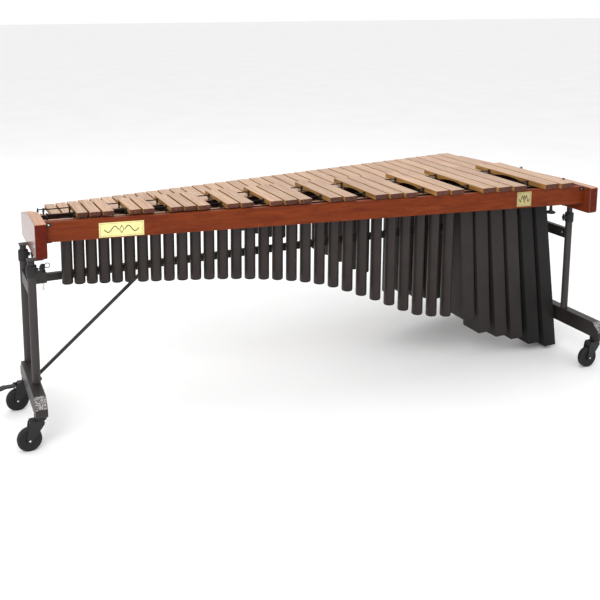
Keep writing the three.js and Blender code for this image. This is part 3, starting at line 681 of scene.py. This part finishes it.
# ------------------------------------------------------------------ resonators
def arch_height(k):
    """The decorative arch of the front tubes' lower ends, smooth through its set heights."""
    xs, zs = zip(*FRONT_ARCH)
    last = len(xs) - 1
    n = max(0, min(last - 1, sum(1 for x in xs[1:] if x <= k)))
    before, after = max(0, n - 1), min(last, n + 2)
    h = xs[n + 1] - xs[n]
    t = (k - xs[n]) / h
    m0 = (zs[n + 1] - zs[before]) / (xs[n + 1] - xs[before]) * h
    m1 = (zs[after] - zs[n]) / (xs[after] - xs[n]) * h
    return ((2 * t ** 3 - 3 * t ** 2 + 1) * zs[n] + (t ** 3 - 2 * t ** 2 + t) * m0
            + (3 * t ** 2 - 2 * t ** 3) * zs[n + 1] + (t ** 3 - t ** 2) * m1)


def tube_radius(x):
    return mix(TUBE_RADIUS, x / boundary(LAST_TUBE))


def tuned_length(i):
    """A quarter of the natural's wavelength, less an end correction."""
    semitones = 12 * (i // 7) + SCALE_STEPS[i % 7]
    quarter = SOUND_SPEED / (4 * HIGHEST_PITCH / 2 ** (semitones / 12))
    return max(SHORTEST_TUBE, quarter - TUBE_RADIUS[0])


def tube(build, x, y, bottom, top):
    """A round tube with a stepped cap below and, above, a near-black lining painted as the shade
    inside its mouth.
    """
    r = tube_radius(x) * TUBE_IN_CAD
    profile = [(r - 7, bottom), (r - 3, bottom + 0.5), (r - 1.2, bottom + 2),
               (r - 0.4, bottom + 4.5), (r - 0.4, bottom + 7), (r, bottom + 7.6), (r, top - 0.4),
               (r - 0.4, top), (r - 1.6, top), (r - 2, top - 0.4)]
    faces = build.turned(profile, x, y, TUBE_SIDES)
    rim = at(0, 0, bottom + CAP_RIM).z
    for face in faces:
        if face.calc_center_median().z < rim:
            face.material_index = 1
    # The mouth's lining is painted near-black as the shade inside the tube.
    mouth = [(r - 2.02, top - 0.5), (r - 2.02, max(bottom + 4, top - 220))]
    build.turned(mouth, x, y, TUBE_SIDES, 2)


def box_tube(name, material, x, y, bottom, top, lean, node):
    """An oblong tube whose lower end leans towards the low end, open at the top."""
    def ring(inset, z):
        shift = lean * (top - z) / (top - bottom)
        w, d, c, steps = BOX_WIDTH / 2 - inset, BOX_DEPTH / 2 - inset, BOX_ROUNDING, 3
        spots = []
        for sx, sy in ((-1, -1), (1, -1), (1, 1), (-1, 1)):
            for n in range(steps + 1):
                t = n / steps if sx == sy else 1 - n / steps
                a = math.pi / 2 * t
                spots.append((x + shift + sx * (w - c + c * math.cos(a)),
                              y + sy * (d - c + c * math.sin(a)), z))
        return spots

    build = Build(material)
    build.hull([ring(2.6, bottom), ring(0.6, bottom + 1.2), ring(0, bottom + 4), ring(0, top),
                ring(2.5, top), ring(2.5, top - BOX_MOUTH)])
    build.finish(name, "upper_frame", "resonator", [node], angle=40)


def strap(build, where, ends, places, side, steel):
    """A strap along a line, with a screw at each tube on the side away from them."""
    build.board(ends, where, (0, STRAP_THICK), STRAP_Z)
    for x in places:
        y = where(x) + (STRAP_THICK + SCREW_HALF if side > 0 else -SCREW_HALF)
        build.turned([(2.6, -SCREW_HALF), (2.6, SCREW_HALF)], x, y, 10, steel, "y",
                     mix(STRAP_Z, 0.5))


def strap_offset(x):
    return tube_radius(x) * TUBE_FLAT - 1.2


def front_strap_line(x):
    return front_line(x) + strap_offset(x)


def back_strap_line(x):
    return back_line(x) - strap_offset(x) - STRAP_THICK


def make_tubes():
    for n, (start, end) in enumerate(TUBE_GROUPS):
        front = [(boundary(i + 1), arch_height(i + 1)) for i in range(start, end)]
        back = [(middle(i), BACK_TUBE_TOP - tuned_length(i)) for i in range(start, end)]
        banks = (("front", front_line, FRONT_TUBE_TOP, front, front_strap_line, 1),
                 ("back", back_line, BACK_TUBE_TOP, back, back_strap_line, -1))
        for name, where, top, tubes, strap_line, side in banks:
            build = Build("tube", "plastic", "tube_inside", "steel")
            for x, bottom in tubes:
                tube(build, x, where(x), bottom, top)
            places = [x for x, bottom in tubes]
            strap(build, strap_line, (places[0] - 22, places[-1] + 22), places, side, 3)
            build.finish(f"{name}_tubes_{n + 1}", "upper_frame", "resonator",
                         [f"{name}_resonators_{n + 1}"], angle=40)


def make_boxes():
    front = [boundary(LAST_TUBE + 1 + n) + FRONT_BOX_X for n in range(len(FRONT_BOX_BOTTOMS))]
    back = [middle(LAST_TUBE + n) for n in range(len(BACK_BOX_BOTTOMS))]
    for n, x in enumerate(front):
        y = front_line(x) + FRONT_BOX_Y + BOX_DEPTH / 2
        # The last front boxes are darkened as painted shade.
        box_tube(f"front_box_{n + 1}", "box_low" if n >= SHADED_BOXES else "box", x, y,
                 FRONT_BOX_BOTTOMS[n], FRONT_TUBE_TOP, FRONT_BOX_LEANS[n], "front_box_resonators")
    for n, x in enumerate(back):
        box_tube(f"back_box_{n + 1}", "box", x, back_line(x), BACK_BOX_BOTTOMS[n],
                 BACK_TUBE_TOP, BACK_BOX_LEAN * (n + 1), "back_box_resonators")
    straps = Build("box", "steel")
    strap(straps, lambda x: front_line(x) + BOX_DEPTH - 28, (front[0] - 38, front[-1] + 40),
          front, 1, 1)
    strap(straps, lambda x: back_line(x) - BOX_DEPTH / 2 - 2, (back[0] - 40, back[-1] + 40),
          back, -1, 1)
    straps.finish("box_straps", "upper_frame", "resonator")


# ------------------------------------------------------------------ stand
def foot_beam(name, trestle):
    """A beam with sloped ends, its slopes in hammered paint."""
    x, (y0, y1), (bottom, top) = trestle["foot_x"], trestle["beam"], FOOT_Z
    run, shoulder = FOOT_SLOPE
    outline = [(y0, bottom), (y1, bottom), (y1, shoulder), (y1 - run, top), (y0 + run, top),
               (y0, shoulder)]
    build = Build("coat", "hammered")
    build.along_x(outline, (x - FOOT_HALF, x + FOOT_HALF))
    build.paint(lambda n: 1 if 0.3 < n.z < 0.95 else 0)
    build.finish(f"foot_{name}", "lower_frame", "powder_coat", [f"foot_beam_{name}"],
                 bevel=3.0, segments=3)


def leg(name, trestle, y):
    """A leg tube with its clamp collar and knob boss."""
    x, s, r = trestle["x"], trestle["in"], LEG_RADIUS
    low, top = COLLAR_Z
    build = Build("coat", "plastic")
    build.turned([(LEG_BORE, LEG_FOOT), (r, LEG_FOOT), (r, low + 2)], x, y, 36)
    build.turned([(r, low - 1), (21, low), (22, low + 2), (22, top - 4), (21, top - 1),
                  (19.5, top), (14.8, top), (14.8, low + 9)], x, y, 36, 1)
    build.turned([(9, s * 16), (9, s * 27), (8, s * 28)], x, y, 20, 1, "x", KNOB_Z)
    build.finish(f"leg_{name}", "lower_frame", "powder_coat", [f"leg_tube_{name}"])


def height_post(name, trestle, y):
    """The post that slides in a leg tube, its flange under the frame and two bolt heads."""
    x, s, flange, top = trestle["x"], trestle["in"], trestle["flange"], trestle["post"]
    under, r = top - FLANGE_THICK, POST_RADIUS
    build = Build("coat", "steel")
    build.turned([(r - 2, POST_FOOT), (r, POST_FOOT), (r, under)], x, y, 36)
    build.block(flange, (y - FLANGE_HALF, y + FLANGE_HALF), (under, top))
    bolt_x = flange[1] - 9 if s > 0 else flange[0] + 9
    for side in (-14, 14):
        build.turned([(4.2, -7), (4.6, -6.5), (4.6, -4)], bolt_x, y + side, 16, 1, "z", top)
    build.finish(f"post_{name}", "upper_frame", "powder_coat", [f"height_post_{name}"], bevel=0.6)


def clamp_knob(name, trestle, y):
    """A T-shaped knob on a screw."""
    x, s = trestle["x"], trestle["in"]
    build = Build("plastic", "steel")
    build.rod((x + s * 14.4, y, KNOB_Z), (x + s * 40, y, KNOB_Z), 4.8, 16, 1)
    hub = [(7, s * 31.5), (8, s * 32.5), (8, s * 41), (6.5, s * 43)]
    build.turned(hub, x, y, 20, 0, "x", KNOB_Z)

    def ring(reach, size):
        return [(x + s * reach, y + 4.4 * size * math.sin(a),
                 KNOB_Z + 18.6 * size * math.cos(a) * (0.72 + 0.28 * abs(math.cos(a))))
                for a in angles(28)]

    build.hull([ring(33, 0.86), ring(34.5, 1), ring(41.5, 1), ring(43, 0.86)])
    build.finish(f"knob_{name}", f"clamp_{name}", "black_plastic", [f"clamp_knob_{name}"])


def cross_board(name, trestle):
    """The board between two legs, with the socket that takes the stretcher's end."""
    x, (leg0, leg1), s = trestle["x"], trestle["legs"], trestle["in"]
    build = Build("coat", "steel")
    build.block((x - CROSS_HALF, x + CROSS_HALF), (leg0 + CROSS_INSET, leg1 - CROSS_INSET), CROSS_Z)
    face = x + s * CROSS_HALF
    xs = sorted((face - s, face + s * SOCKET_REACH))
    inner, outer = SOCKET_WALL
    for side in (-1, 1):
        ys = sorted((STRETCHER_Y + side * inner, STRETCHER_Y + side * outer))
        build.block(xs, ys, (SOCKET_FLOOR, CROSS_Z[1]))
    build.block(xs, (STRETCHER_Y - outer, STRETCHER_Y + outer),
                (SOCKET_FLOOR, STRETCHER_Z[0] - 0.4))
    for bolt_y in (leg0 + 34, leg1 - 34):
        build.turned([(5, s * 12), (5, s * 14), (4, s * 15)], x, bolt_y, 12, 1, "x",
                     mix(CROSS_Z, 0.5))
    build.finish(f"cross_{name}", "lower_frame", "powder_coat", [f"cross_board_{name}"],
                 bevel=1.5)


def brace(name, trestle):
    """The rod from a foot beam up to the stretcher, its two end pads, and its lobed knob."""
    s, y = trestle["in"], STRETCHER_Y
    face = trestle["foot_x"] + s * FOOT_HALF
    foot, under, half = BRACE_FOOT, STRETCHER_Z[0], BRACE_HALF
    end_x = face + s * BRACE_RUN
    build = Build("coat", "steel")
    build.rod((face + s * 6.5, y, foot), (end_x, y, under - 7), BRACE_RADIUS, 28)
    build.block(sorted((face + s * 0.3, face + s * 18)), (y - half, y + half),
                (foot - 13, foot + 13))
    build.block((end_x - 17, end_x + 17), (y - half, y + half), (under - 15, under - 0.3))
    build.turned([(4.5, -2), (4.5, 0)], end_x, y - half, 12, 1, "y", under - 8)
    build.finish(f"brace_rod_{name}", "lower_frame", "powder_coat", [f"brace_{name}"], bevel=1.2)
    knob = Build("plastic")
    x, y, z = face + s * 13, y - 8.6, foot - 3
    outline = lobed(10.2, 0.7, 5, 40)
    ring = lambda reach, size: [(x + size * u, y - reach, z + size * v) for u, v in outline]
    knob.turned([(6, 0), (6, -12)], x, y, 16, 0, "y", z)
    knob.hull([ring(10, 0.85), ring(11.5, 1), ring(24, 1), ring(26, 0.85)])
    knob.finish(f"brace_grip_{name}", "lower_frame", "black_plastic", [f"brace_knob_{name}"])


def make_stretcher():
    build = Build("coat")
    ends = (TRESTLES["high"]["x"] + STRETCHER_GAP, TRESTLES["low"]["x"] - STRETCHER_GAP)
    build.block(ends, (STRETCHER_Y - STRETCHER_HALF, STRETCHER_Y + STRETCHER_HALF), STRETCHER_Z)
    build.finish("stretcher_beam", "lower_frame", "powder_coat", ["stretcher"], bevel=2.2,
                 segments=3)


def make_pin():
    """The release pin, its head and its upright pull ring."""
    x, y = TRESTLES["high"]["x"] + PIN_INSET, STRETCHER_Y
    pin = Build("steel", "plastic")
    pin.turned([(3.5, 566), (5, 569), (5, 648)], x, y, 20)
    pin.turned([(9, 641.4), (10, 642.5), (10, 682), (8.5, 684)], x, y, 24, 1)
    pull = [(x + 20 + 11 * math.cos(t), y, PULL_Z + 11 * math.sin(t))
            for t in (*angles(32), 2 * math.pi)]
    pin.sweep(pull, 1.8, 10, 1)
    pin.finish("pin", "release_pin", "steel", ["release_pin"])


def make_apron_knob():
    x = APRON_KNOB_X
    y = apron_face(x) + APRON_THICK / 2
    knob = Build("plastic")
    outline = lobed(21.8, 0.8, 8, 48)
    ring = lambda z, size: [(x + size * u, y + size * v, z) for u, v in outline]
    knob.hull([ring(788.3, 0.86), ring(790.2, 0.97), ring(792.7, 1), ring(796.7, 1),
               ring(798.2, 0.9)])
    knob.turned([(12, 797.7), (9, 802.7), (7, 813.7), (7, 828.1)], x, y, 28)
    knob.finish("apron_grip", "apron_knob", "black_plastic", ["apron_knob"])


def wheel(name, x, y):
    """A tyre with rounded shoulders, and a dished hub face on each side."""
    build = Build("tyre", "hub")
    half = WHEEL_HALF
    shoulder = [(38, 0), (41, 0), (46, 0.6), (49, 3), (50, 6.5)]
    tread = [(r, d - half) for r, d in shoulder] + [(r, half - d) for r, d in reversed(shoulder)]
    build.turned(tread, x, y, WHEEL_SIDES, 0, "y", AXLE_Z)
    dish = [(5.6, 14), (15, 14), (17, 12.6), (34, 11.4), (36.5, 13.4), (39, 13.9)]
    for side in (-1, 1):
        build.turned([(r, side * d) for r, d in dish], x, y, WHEEL_SIDES, 1, "y", AXLE_Z)
    build.finish(f"wheel_{name}_rubber", f"wheel_{name}", "tyre", [f"caster_wheel_{name}"],
                 angle=50)


def fork(name, x, y, braked):
    """The caster's crown, stem, two cheeks and axle, and the pedal's ears if it has one."""
    hx = x - TRAIL
    build = Build("plastic", "steel")
    crown = [(21, 126), (23, 126.5), (25.9, 131), (26.3, 133), (26.3, 140), (25, 141.5),
             (25, 143.5), (26.3, 145), (26.3, 149), (25.8, 149.7)]
    build.turned(crown, x, y, 48)
    build.turned([(8, 149), (8, 171.8)], x, y, 20, 1)
    cheek = [(14, 118), (8, 129), (-42, 129), (-50, 118), (-TRAIL - 13, 52), (-TRAIL - 12.6, 46),
             (-TRAIL - 9, 40.6), (-TRAIL - 3.5, 37.6), (-TRAIL + 3, 37.4), (-TRAIL + 8.5, 39.8),
             (-TRAIL + 12, 44.6), (12, 110)]
    boss = [(8.5, 20.2), (8.5, 21.6), (6.4, 22)]
    nut = [(4.6, 21.5), (4.6, 24), (3.4, 24.4)]
    for side in (-1, 1):
        ys = sorted((y + side * 16.5, y + side * 20.5))
        build.hull([[(x + u, d, z) for u, z in cheek] for d in ys])
        build.turned([(r, side * d) for r, d in boss], hx, y, 24, 0, "y", AXLE_Z)
        build.turned([(r, side * d) for r, d in nut], hx, y, 6, 1, "y", AXLE_Z)
    build.rod((hx, y - 21, AXLE_Z), (hx, y + 21, AXLE_Z), 5, 20, 1)
    build.block((x - 46, x + 12), (y - 19.5, y + 19.5), (108.5, 129))
    if braked:
        for side in (-1, 1):
            ys = sorted((y + side * 18.4, y + side * 21))
            build.block((x - PEDAL_PIVOT - 7, x - 44), ys, (PEDAL_Z - 7, PEDAL_Z + 7))
    build.finish(f"fork_{name}_body", f"swivel_{name}", "black_plastic", [f"caster_fork_{name}"],
                 bevel=1.0)


def pedal(name, x, y):
    """The brake pedal: its pivot, arm and sloped, ribbed tread."""
    build = Build("plastic", "steel")
    px, z, top, slope = x - PEDAL_PIVOT, PEDAL_Z, PEDAL_Z + 3, 0.25
    build.rod((px, y - 22, z), (px, y + 22, z), 3, 16, 1)
    build.rod((px, y - 18, z), (px, y + 18, z), 5, 20)
    build.block((px - 48, px), (y - 15, y + 15), (z - 4, top))
    length, thick, near_x = 24, 6, px - 44
    tread = lambda u, v, w: (near_x - length * (1 - u), mix((y - 20, y + 20), v),
                             top - slope * length * (1 - u) - thick * (1 - w))
    build.cell(tread)
    for n in range(4):
        rib_x = px - 50 - 4.5 * n
        rib_z = top - slope * (near_x - rib_x)
        build.block((rib_x - 1, rib_x + 1), (y - 17, y + 17), (rib_z - 1, rib_z + 0.6))
    build.finish(f"pedal_{name}", f"brake_{name}", "black_plastic", [f"brake_pedal_{name}"],
                 bevel=1.0)


def make_stand():
    for end, trestle in TRESTLES.items():
        foot_beam(end, trestle)
        cross_board(end, trestle)
        brace(end, trestle)
        for side, y in zip(("front", "back"), trestle["legs"]):
            leg(f"{end}_{side}", trestle, y)
            height_post(f"{end}_{side}", trestle, y)
            clamp_knob(f"{end}_{side}", trestle, y)
        x, (y0, y1) = trestle["foot_x"], trestle["beam"]
        for side, y in (("front", y0 + BEAM_INSET), ("back", y1 - BEAM_INSET)):
            braked = side == "back"
            wheel(f"{end}_{side}", x - TRAIL, y)
            fork(f"{end}_{side}", x, y, braked)
            if braked:
                pedal(f"{end}_{side}", x, y)
    make_stretcher()
    make_pin()
    make_apron_knob()


# ------------------------------------------------------------------ camera, light and floor
FLOOR_SIZE = 60
LOOK_AT = (0, 0, 0.6)
# Name, place in metres, size in metres, power in watts.
LIGHTS = (
    ("key", (-3.6, -4.4, 4.6), 4.0, 240),
    ("fill", (4.4, -3.4, 3.0), 4.0, 20),
    ("top", (0.4, 1.4, 4.8), 5.0, 90),
)
CAMERA = {"spot": (-551.1, -3439.4, 1818.5), "yaw": 23.494, "pitch": 9.336, "lens": 50.67,
          "shift": (0.0527, -0.27)}


def make_camera():
    data = bpy.data.cameras.new("camera")
    data.lens = CAMERA["lens"]
    data.sensor_width = 36
    data.shift_x, data.shift_y = CAMERA["shift"]
    data.clip_end = 100
    camera = bpy.data.objects.new("camera", data)
    camera.location = at(*CAMERA["spot"])
    camera.rotation_euler = (math.radians(90 - CAMERA["pitch"]), 0, math.radians(-CAMERA["yaw"]))
    bpy.context.scene.collection.objects.link(camera)
    bpy.context.scene.camera = camera


def make_stage():
    floor = bpy.data.meshes.new("floor")
    grid = bmesh.new()
    bmesh.ops.create_grid(grid, x_segments=8, y_segments=8, size=FLOOR_SIZE)
    grid.to_mesh(floor)
    grid.free()
    floor.materials.append(MATERIALS["floor"])
    plane = bpy.data.objects.new("studio_floor", floor)
    bpy.context.scene.collection.objects.link(plane)
    world = bpy.data.worlds.new("studio")
    bpy.context.scene.world = world
    world.use_nodes = True
    background = world.node_tree.nodes["Background"]
    background.inputs["Color"].default_value = (1, 1, 1, 1)
    background.inputs["Strength"].default_value = 1.0
    for name, place, size, power in LIGHTS:
        light = bpy.data.lights.new(name, "AREA")
        light.size = size
        light.energy = power
        lamp = bpy.data.objects.new(name, light)
        lamp.location = place
        aim = Vector(LOOK_AT) - Vector(place)
        lamp.rotation_euler = aim.to_track_quat("-Z", "Y").to_euler()
        bpy.context.scene.collection.objects.link(lamp)
    bpy.context.scene.view_settings.view_transform = "Standard"


make_bars()
make_cords_and_posts()
make_frame()
make_tubes()
make_boxes()
make_stand()
make_camera()
make_stage()
